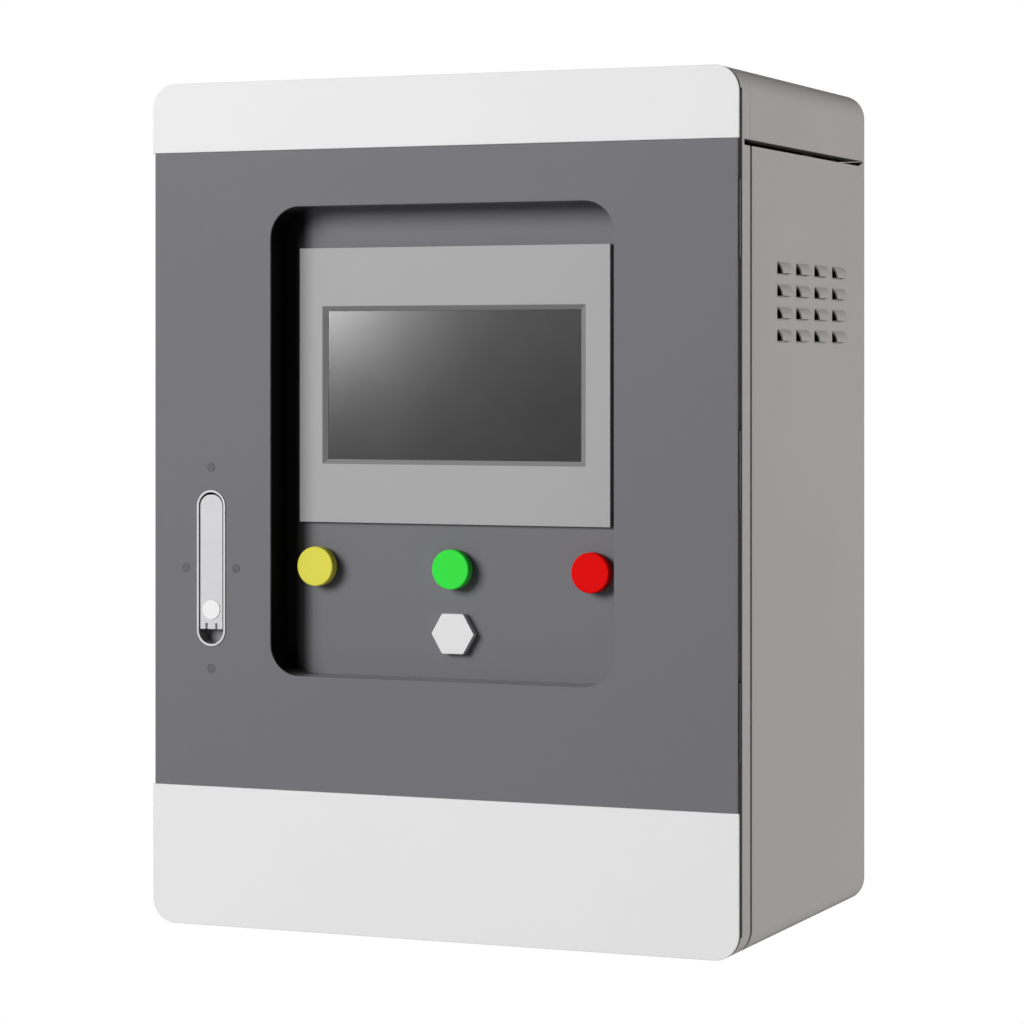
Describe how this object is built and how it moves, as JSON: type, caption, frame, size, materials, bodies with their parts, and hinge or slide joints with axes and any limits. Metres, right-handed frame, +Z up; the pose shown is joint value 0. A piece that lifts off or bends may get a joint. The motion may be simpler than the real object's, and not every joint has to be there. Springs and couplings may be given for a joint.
{
  "type": "wall-mounted control cabinet",
  "caption": "Wall-hung sheet-metal control cabinet with a recessed touch screen, push buttons, a hexagonal knob, a flush pull latch and side louvres.",
  "frame": {"origin": "centre of the four wall fixing holes, on the back face", "axes": "+Z up, +X to the viewer's right when facing the door, the door faces -Y and the wall is at +Y"},
  "size_m": [0.509, 0.322, 0.676],
  "materials": {
    "case_paint": "warm grey fine-texture powder coat",
    "door_paint": "dark grey satin powder coat",
    "pale_paint": "off-white satin powder coat",
    "bezel_plastic": "fine-grained grey moulding",
    "touch_glass": "glossy touch glass",
    "display_black": "dark display",
    "black_plastic": "black moulded plastic",
    "zinc_steel": "zinc-plated",
    "yellow_plastic": "semi-gloss moulded plastic",
    "green_plastic": "semi-gloss moulded plastic",
    "red_plastic": "semi-gloss moulded plastic",
    "white_plastic": "semi-gloss moulded plastic",
    "contact_plastic": "dark moulded plastic",
    "handle_alloy": "pale satin coated die casting",
    "pin_steel": "bright steel",
    "rivet_dark": "dark painted steel",
    "seal_rubber": "soft black foam rubber",
    "device_plastic": "grey moulded plastic",
    "toggle_plastic": "black moulded plastic",
    "terminal_plastic": "grey-beige moulded plastic",
    "duct_plastic": "grey moulded plastic",
    "earth_brass": "plain brass"
  },
  "bodies": {
    "cabinet": {"base_pan": "case_paint", "body_shell": "case_paint", "cable_grommets": "seal_rubber", "controller": "device_plastic", "din_rail_lower": "zinc_steel", "din_rail_upper": "zinc_steel", "duct_cover_lower": "duct_plastic", "duct_cover_upper": "duct_plastic", "earth_bar": "earth_brass", "front_frame": "case_paint", "hinge_frame_leaf_bottom": "pin_steel", "hinge_frame_leaf_middle": "pin_steel", "hinge_frame_leaf_top": "pin_steel", "hinge_pins": "pin_steel", "main_breaker": "device_plastic", "mounting_plate": "zinc_steel", "plate_standoffs": "zinc_steel", "power_supply": "device_plastic", "rear_panel": "case_paint", "roof_panel": "case_paint", "terminal_blocks": "terminal_plastic", "top_hood": "case_paint", "wiring_duct_lower": "duct_plastic", "wiring_duct_upper": "duct_plastic"},
    "door": {"door_skin": "door_paint", "top_trim_cover": "pale_paint", "bottom_trim_cover": "pale_paint", "window_collar": "door_paint", "instrument_panel": "door_paint", "hmi_bezel": "bezel_plastic", "hmi_glass": "touch_glass", "hmi_display": "display_black", "hmi_rear_case": "black_plastic", "hmi_clamps": "zinc_steel", "panel_nuts": "zinc_steel", "yellow_contact_block": "contact_plastic", "green_contact_block": "contact_plastic", "red_contact_block": "contact_plastic", "selector_contact_block": "contact_plastic", "yellow_button_body": "black_plastic", "green_button_body": "black_plastic", "red_button_body": "black_plastic", "selector_body": "black_plastic", "latch_housing": "handle_alloy", "latch_pin": "pin_steel", "latch_carrier": "zinc_steel", "latch_plate": "zinc_steel", "latch_rivets": "rivet_dark", "door_seal": "seal_rubber", "hinge_door_leaf_bottom": "pin_steel", "hinge_door_leaf_middle": "pin_steel", "hinge_door_leaf_top": "pin_steel"},
    "yellow_button": {"yellow_button_cap": "yellow_plastic"},
    "green_button": {"green_button_cap": "green_plastic"},
    "red_button": {"red_button_cap": "red_plastic"},
    "selector": {"selector_knob": "white_plastic"},
    "latch_handle": {"latch_lever": "handle_alloy"},
    "latch_release": {"release_button": "white_plastic"},
    "latch_tongue": {"latch_bolt": "zinc_steel"},
    "breaker_switch": {"breaker_toggle": "toggle_plastic"}
  },
  "joints": [
    {"name": "door_hinge", "type": "hinge", "parent": "cabinet", "child": "door", "pos_m": [0.2477, -0.3165, 0], "axis": [0, 0, 1], "range_deg": [0, 110]},
    {"name": "yellow_press", "type": "slide", "parent": "door", "child": "yellow_button", "axis": [0, 1, 0], "range_m": [0, 0.0035], "stiffness_N_per_m": 900, "springref_m": -0.002},
    {"name": "green_press", "type": "slide", "parent": "door", "child": "green_button", "axis": [0, 1, 0], "range_m": [0, 0.0035], "stiffness_N_per_m": 900, "springref_m": -0.002},
    {"name": "red_press", "type": "slide", "parent": "door", "child": "red_button", "axis": [0, 1, 0], "range_m": [0, 0.0035], "stiffness_N_per_m": 900, "springref_m": -0.002},
    {"name": "selector_turn", "type": "hinge", "parent": "door", "child": "selector", "pos_m": [0.004, -0.292, -0.1], "axis": [0, 1, 0], "range_deg": [0, 90]},
    {"name": "handle_lift", "type": "hinge", "parent": "door", "child": "latch_handle", "pos_m": [-0.1974, -0.3178, -0.00165], "axis": [-1, 0, 0], "range_deg": [0, 40]},
    {"name": "release_press", "type": "slide", "parent": "latch_handle", "child": "latch_release", "axis": [0, 1, 0], "range_m": [0, 0.0015], "stiffness_N_per_m": 800, "springref_m": -0.002},
    {"name": "tongue_slide", "type": "slide", "parent": "door", "child": "latch_tongue", "axis": [1, 0, 0], "range_m": [0, 0.006]},
    {"name": "breaker_throw", "type": "hinge", "parent": "cabinet", "child": "breaker_switch", "pos_m": [-0.109, -0.0945, 0.132], "axis": [1, 0, 0], "range_deg": [-20, 20]}
  ],
  "couplings": [
    {"joint": "tongue_slide", "follows": "handle_lift", "m_per_rad": 0.0085}
  ]
}
